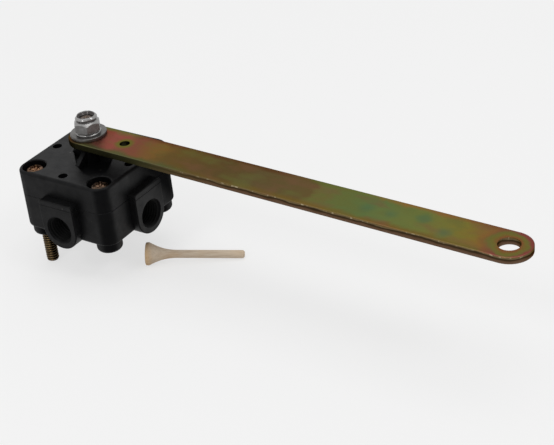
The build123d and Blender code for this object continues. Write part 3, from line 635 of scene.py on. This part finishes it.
# %% Give the solids their finishes
finish_of_slot = {
    "moulded_nylon": nylon, "seal_rubber": rubber, "yellow_zinc_screws": gold_zinc, "yellow_zinc_steel": film,
    "clear_zinc_steel": clear_zinc, "brass": brass, "bronze": bronze, "ground_steel": ground_steel,
    "spring_steel": spring_steel, "acetal": acetal, "valve_ceramic": ceramic, "turned_wood": wood}
slot_of_node = {part["node"]: part["material_slot"] for part in frame["record"]["subparts"]}
for name, node in frame["nodes"].items():
    node.data.materials.clear()
    node.data.materials.append(finish_of_slot[slot_of_node[name]])
print("finished nodes:", len(frame["nodes"]))

# %% [markdown]
# ## Surfaces from rings
#
# Screws, nut, washer, shaft and port threads are all round about an axis, more or less. Each can be
# worked out as a stack of rings: an array of rows, points and x, y, z. A function then joins
# neighbouring rings with four-sided faces, and closes the ends or joins the last ring to the first.
# The piece's volume is measured with its sign: where it is negative the faces look inwards, and they
# are turned round.

# %% Rings to a closed shell
def shell(rings, loop=False):
    """Points and faces of a stack of closed rings. A face joins two neighbouring points of a row to the
    same two of the next row. With loop, the last row joins the first. Without, a fan closes each end."""
    rows, count = rings.shape[:2]
    here = np.arange(rows * count).reshape(rows, count)
    if loop:
        here = np.vstack([here, here[:1]])
    beside = np.roll(here, -1, axis=1)
    faces = np.stack([here[:-1], beside[:-1], beside[1:], here[1:]], axis=-1).reshape(-1, 4).tolist()
    points = rings.reshape(-1, 3)
    if not loop:
        first = np.full(count, len(points))
        faces += np.stack([beside[0], here[0], first], axis=-1).tolist()
        faces += np.stack([here[-1], beside[-1], first + 1], axis=-1).tolist()
        points = np.vstack([points, rings[[0, -1]].mean(axis=1)])
    return points, faces


# %% Closed shells to a piece
def new_piece(name, shells, material, body, node, sharp):
    """An object from closed shells, in millimetres, that rides a body and stands for a node. Faces that
    meet at more than sharp, in degrees, keep a hard edge between them."""
    start = 0
    faces = []
    for points, own_faces in shells:
        faces += [[index + start for index in face] for face in own_faces]
        start += len(points)
    mesh = bpy.data.meshes.new(name)
    mesh.from_pydata((np.vstack([points for points, own in shells]) * mm).tolist(), [], faces)
    work = bmesh.new()
    work.from_mesh(mesh)
    volume = work.calc_volume(signed=True)
    if volume < 0:
        bmesh.ops.reverse_faces(work, faces=work.faces)
        work.to_mesh(mesh)
    work.free()
    mesh.shade_smooth()
    mesh.set_sharp_from_angle(angle=np.radians(sharp))
    mesh.materials.append(material)
    piece = bpy.data.objects.new(name, mesh)
    bpy.context.scene.collection.objects.link(piece)
    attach(piece, body)
    if node:
        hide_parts(node)
    print(name + ":", round(abs(volume) / mm ** 3), "mm3,", len(faces), "faces")


# %% [markdown]
# No edge of a real piece is quite sharp, and the thin line of light along a rounded edge is much of
# what makes metal look like metal. So one helper rounds an outline's corners, two more turn the
# outline into rings about the z axis, and a last one gives a thread's groove.

# %% Outlines and rings
def rounded(outline, radius, steps=5, loop=False):
    """Rounds an outline's corners: corner P becomes (1-t)^2 A + 2t(1-t) P + t^2 B, where A and B are on its
    two sides, a radius away, or 0.45 of the side where that is less."""
    ends = np.array(outline, float)
    line = np.vstack([ends[-1:], ends, ends[:1]]) if loop else ends
    corner = line[1:-1]
    reach = []
    for side in (line[:-2] - corner, line[2:] - corner):
        length = np.linalg.norm(side, axis=1, keepdims=True)
        reach.append(corner + side / length * np.minimum(radius, 0.45 * length))
    t = np.linspace(0, 1, steps)[None, :, None]
    arcs = (1 - t) ** 2 * reach[0][:, None] + 2 * t * (1 - t) * corner[:, None] + t ** 2 * reach[1][:, None]
    arcs = arcs.reshape(-1, 2)
    return arcs if loop else np.vstack([ends[:1], arcs, ends[-1:]])


def round_about(radius, height, angle):
    """Rings from a radius and a height for each row and angle: the point is (r cos a, r sin a, z)."""
    radius, height, angle = np.broadcast_arrays(radius, height, angle)
    return np.stack([radius * np.cos(angle), radius * np.sin(angle), height], axis=-1)


def full_turn(count, start=0.0):
    """Angles of a ring's points, as one row."""
    return (start + np.arange(count) * 2 * np.pi / count)[None, :]


# %% A thread's groove
def groove(height, angle, pitch):
    """A thread's groove, from 0 on the crest to 1 in the root. The turn's phase is z / pitch - a / 2 pi, its
    distance from the nearest crest rises evenly to the root, and both ends are cut off flat."""
    phase = (height / pitch - angle / (2 * np.pi)) % 1
    depth = 1 - np.abs(2 * phase - 1)
    return np.clip(1.3 * depth - 0.15, 0, 1)


# %% [markdown]
# ## The screws
#
# Four button-head screws with a six-lobed recess close the housing. Two of them are long, go right
# through, and are the studs that the valve is mounted by. The recess is a ring whose radius rises and
# falls six times round, r = r0 + a cos 6t, and the head's dome blends it into the round rim. The
# thread has 20 turns to the inch, 1.27 mm each, cut into the rows of the end part.

# %% Screw head
head_seat = 29.6
head_radius = 4.3
dome_radius = 3.3
lobe_radius = 2.36
lobe_swing = 0.4
shank_radius = 2.65


def screw_head(angle):
    """Rows of the head: recess floor and wall, dome from the lobes to the rim, side and seat. The dome
    falls by 0.3 mm times the square of r / rim radius."""
    lobes = lobe_radius + lobe_swing * np.cos(6 * angle)
    recess_r = np.vstack([0.5 * lobes, lobes - 0.2, lobes - 0.04, lobes, lobes + 0.12])
    recess_z = head_top - np.array([[1.75], [1.45], [1.3], [0.3], [0.12]])
    s = np.linspace(0, 1, 6)[:, None]
    dome_r = (1 - s) * (lobes + 0.25) + s * dome_radius
    dome_z = head_top - 0.03 - 0.3 * (dome_r / dome_radius) ** 2
    rim = rounded([(dome_radius, head_top - 0.33), (4.15, head_top - 0.75), (head_radius, head_seat + 0.9),
                   (head_radius - 0.05, head_seat), (shank_radius, head_seat)], 0.55, 6)[1:]
    around = 0 * angle
    radius = np.vstack([recess_r, dome_r, rim[:, :1] + around])
    height = np.vstack([recess_z + around, dome_z, rim[:, 1:] + around])
    return radius, height


# %% Screw thread
thread_crest = 2.95
thread_depth = 0.6
thread_pitch = 1.27
tip_radius = 1.9
tip_length = 1.3


def screw_thread(angle, tip, top):
    """Rows of the thread, ten a turn. It runs in over the first turn, and the tip is rounded like a quarter
    of an ellipse."""
    height = np.arange(top, tip, -thread_pitch / 10)[:, None]
    run_in = np.clip((top - height) / thread_pitch, 0, 1)
    cut = thread_crest - thread_depth * groove(height, angle, thread_pitch) * run_in
    nose = np.clip((height - tip) / tip_length, 0, 1)
    limit = tip_radius + (thread_crest - tip_radius) * np.sqrt(1 - (1 - nose) ** 2)
    return np.minimum(cut, limit), height + 0 * angle


def screw(centre, tip, top):
    """A whole screw at a centre, as one closed shell."""
    angle = full_turn(72, 0.2)
    head_r, head_z = screw_head(angle)
    thread_r, thread_z = screw_thread(angle, tip, top)
    neck_r = np.full_like(thread_r[:2], shank_radius)
    neck_z = np.array([[head_seat - 0.1], [top + 0.3]]) + 0 * angle
    rings = round_about(np.vstack([head_r, neck_r, thread_r]), np.vstack([head_z, neck_z, thread_z]), angle)
    return shell(rings + np.array([centre[0], centre[1], 0]))


# %% Four screws
sides = (-half_spacing, half_spacing)
long_screws = [screw((-half_spacing, y), stud_tip, base_foot) for y in sides]
short_screws = [screw((half_spacing, y), short_screw_tip, seam_height) for y in sides]
new_piece("stud_screws_threaded", long_screws, gold_zinc, "housing",
          "mounting_stud_screws", 50)
new_piece("cover_screws_threaded", short_screws, gold_zinc, "housing",
          "cover_screws", 50)

# %% [markdown]
# ## The lock nut
#
# The nut is an all-metal lock nut: a hexagon on a washer face, with a round collar above that is
# crimped in three places so that it grips the thread. A hexagon's radius at angle t is its half width
# divided by cos t, with t measured from the nearest flat. The corners of its top and bottom are turned
# off by cones, and the border between flat and cone is the curve seen on every nut. The crimps are
# three smooth dents in the collar's radius.

# %% Hexagon and crimps
nut_half_width = 5.55
hex_turn = np.radians(9.0)
crimp_turns = np.radians([-35.0, 85.0, 205.0])
crimp_depth = 0.5
crimp_height = 7.4
crimp_spread = 0.3


def hexagon(angle):
    """Radius of a hexagon at an angle: half width / cos of the angle from the nearest flat."""
    sector = np.pi / 3
    from_flat = (angle - hex_turn) % sector - sector / 2
    return nut_half_width / np.cos(from_flat)


def crimp(angle, height):
    """Depth of the collar's three dents, each a bell curve exp(-(a / spread)^2) of the angle from its middle,
    times a bell curve of the height."""
    depth = 0
    for centre in crimp_turns:
        apart = (angle - centre + np.pi) % (2 * np.pi) - np.pi
        depth = depth + np.exp(-(apart / crimp_spread) ** 2)
    return crimp_depth * depth * np.exp(-(height - crimp_height) ** 2)


# %% Lock nut
nut_height = round(nut_top - nut_foot, 2)
nut_bore = 3.15
face_radius = 5.9
face_top = 0.7
low_cone_radius = 5.1
top_cone_radius = 4.95
hex_shoulder = 4.75
hex_top = 6.05
low_cone, top_cone = np.tan(np.radians([30, 43]))


def nut_rings():
    """Rows from the bore's foot outwards: washer face, hexagon between its cones, collar, mouth, bore. A
    cone's height changes by its slope times the way out from its own radius."""
    angle = full_turn(144, hex_turn)
    six = hexagon(angle)
    foot = rounded([(nut_bore + 0.3, 0.0), (face_radius, 0.0), (face_radius + 0.05, 0.2),
                    (low_cone_radius, face_top)], 0.12)
    s = np.linspace(0, 1, 5)[:, None]
    low_r = low_cone_radius + s * (six - low_cone_radius)
    low_z = face_top + low_cone * (low_r - low_cone_radius)
    high_r = six + s * (hex_shoulder - six)
    high_z = hex_top - top_cone * np.clip(high_r - top_cone_radius, 0, None)
    collar = rounded([(4.6, 6.1), (4.55, 6.75), (5.1, 7.15), (5.15, 7.55), (4.35, nut_height),
                      (4.1, nut_height), (3.8, 7.7), (3.3, 7.2), (nut_bore, 6.9)], 0.35)
    bore = np.array([(nut_bore, 0.25)])
    around = 0 * angle
    radius = np.vstack([foot[:, :1] + around, low_r, high_r, collar[:, :1] + around, bore[:, :1] + around])
    height = np.vstack([foot[:, 1:] + around, low_z, high_z, collar[:, 1:] + around, bore[:, 1:] + around])
    return round_about(radius - crimp(angle, height), height + nut_foot, angle)


new_piece("lock_nut_crimped", [shell(nut_rings(), loop=True)], clear_zinc, "lever_and_shaft",
          "lock_nut", 24)

# %% [markdown]
# ## Washer and shaft
#
# The washer is stamped, so its edges are rounded. The shaft is turned: a thread at the top, two flats
# for the lever, a round journal, a thrust collar and a flat tang that drives the valve disc. Each part
# has a round radius and two half widths, in x and in y, which are far off where it has no flats. A
# row's radius is the least of the round one and the distance to its flats, d / |cos a| or d / |sin a|,
# so one formula gives all five parts.

# %% Washer
washer_bore = 3.4
washer_radius = 8.4
washer_edge = 0.35
washer_outline = rounded([(washer_bore, lever_top), (washer_radius, lever_top), (washer_radius, nut_foot),
                          (washer_bore, nut_foot)], washer_edge, 6, loop=True)
washer_rings = round_about(washer_outline[:, :1], washer_outline[:, 1:], full_turn(96))
new_piece("lever_washer_stamped", [shell(washer_rings, loop=True)], painted_shade_washer_zinc, "lever_and_shaft",
          "lever_washer", 40)

# %% Shaft
far = 99.0
tang = (5.0, 4.0, 1.5)
collar_edge = (7.4, far, far)
collar = (7.6, far, far)
journal = (3.175, far, far)
flats = (3.175, far, 2.4)
crest = (3.1, far, far)
tang_foot, tang_top = 23.45, 27.82
collar_low, collar_high, collar_top = 28.0, 28.85, 29.02
shaft_thread_depth = 0.58
end_radius = 2.6


def shaft_rings():
    """Rows from the tang up to the thread's end, each as round radius, half widths in x and y, and height."""
    angle = full_turn(96, np.pi / 96)
    sections = np.array([
        (*tang, tang_foot), (*tang, tang_top), (*collar_edge, tang_top), (*collar, collar_low),
        (*collar, collar_high), (*collar_edge, collar_top), (*journal, collar_top), (*journal, lever_bottom),
        (*flats, lever_bottom), (*flats, lever_top), (*crest, lever_top)])
    round_r, flat_x, flat_y, height = sections.T[:, :, None]
    across_x = flat_x / np.abs(np.cos(angle))
    across_y = flat_y / np.abs(np.sin(angle))
    plain = np.minimum(round_r, np.minimum(across_x, across_y))
    thread_z = np.arange(lever_top + 0.1, shaft_end, thread_pitch / 12)[:, None]
    end_bevel = np.clip(shaft_end - thread_z, 0, 0.5)
    cut = crest[0] - shaft_thread_depth * groove(thread_z, angle, thread_pitch)
    thread = np.minimum(cut, end_radius + end_bevel)
    around = 0 * angle
    dimple_r = np.array([[2.5], [0.9], [0.3]]) + around
    dimple_z = np.array([[shaft_end], [shaft_end], [shaft_end - 0.5]]) + around
    rows = np.vstack([height + around, thread_z + around, dimple_z])
    return round_about(np.vstack([plain, thread, dimple_r]), rows, angle)


new_piece("control_shaft_threaded", [shell(shaft_rings())], oiled_steel, "lever_and_shaft",
          "control_shaft", 40)

# %% [markdown]
# ## Threads in the ports
#
# Both ports have a tapered pipe thread, 18 turns to the inch, which is 1.41 mm a turn. In the light
# from above, its lower turns show as a few bright arcs. Each is a thin sleeve in the bore, whose
# inner side carries the ridges: r = bore - taper - ridge. Its outer side lies inside the plastic. The
# thread is a little rougher, and made deeper black with less sheen than the moulded faces, as painted
# shade inside the bore.

# %% Tapped nylon
# Painted shade: the thread in the bores is given a deeper black and less sheen than the moulded faces.
shaded_bore_nylon, tree, place = start_material("tapped nylon", {"IOR": 1.53, "Specular IOR Level": 0.07})
torn = add(tree, "TexNoise", {"Vector": place, "Scale": 1 / (0.8 * mm), "Detail": 3.0})
complete(shaded_bore_nylon, {
    "Base Color": add(tree, "ValToRGB", {"Fac": torn}, {0.3: "#030303", 0.75: "#0a0a0a"}),
    "Roughness": add(tree, "MapRange", {"Value": torn, "To Min": 0.4, "To Max": 0.6})})

# %% Port threads
port_height = 10.6
port_bore = 6.5
port_depth = 12.5
pipe_pitch = 1.411
pipe_taper = 1 / 16
ridge_height = 0.75
lead_in = 0.45


def port_rings(outward, side):
    """Rows of a sleeve along a port: the ridges, r = bore - taper - ridge, from mouth to floor, then back
    along the outer side."""
    angle = full_turn(96)
    thread_end = port_depth - 0.3
    depth = np.arange(lead_in, thread_end, pipe_pitch / 12)[:, None]
    fade = np.clip((depth - lead_in) / 0.9, 0, 1) * np.clip((thread_end - depth) / 2.0, 0, 1)
    ridge = ridge_height * (1 - groove(depth, angle, pipe_pitch)) * fade
    inner = port_bore + 0.03 - depth * pipe_taper / 2 * fade - ridge
    radius = np.vstack([inner, np.full((2, angle.size), port_bore + 0.2)])
    along = np.vstack([depth, [[port_depth - 0.2], [lead_in]]]) + 0 * angle
    outward, side, upward = np.array([outward, side, (0, 0, 1)], float)
    centre = (port_mouth - along)[..., None] * outward + port_height * upward
    return centre + (radius * np.cos(angle))[..., None] * side + (radius * np.sin(angle))[..., None] * upward


for name, outward, side in (("supply_port_thread", (1, 0, 0), (0, 1, 0)),
                            ("delivery_port_thread", (0, -1, 0), (1, 0, 0))):
    sleeve = shell(port_rings(outward, side), loop=True)
    new_piece(name, [sleeve], shaded_bore_nylon, "housing", None, 60)

# %% [markdown]
# ## Last measures
#
# The dressed model has to stay as large as the solids, so both boxes are printed.

# %% Boxes
dressed_box = [list(corner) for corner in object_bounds()]
for name, (low, high) in (("solids", solid_box), ("dressed", dressed_box)):
    print(name, "in mm:", [round((b - a) / mm, 2) for a, b in zip(low, high)])
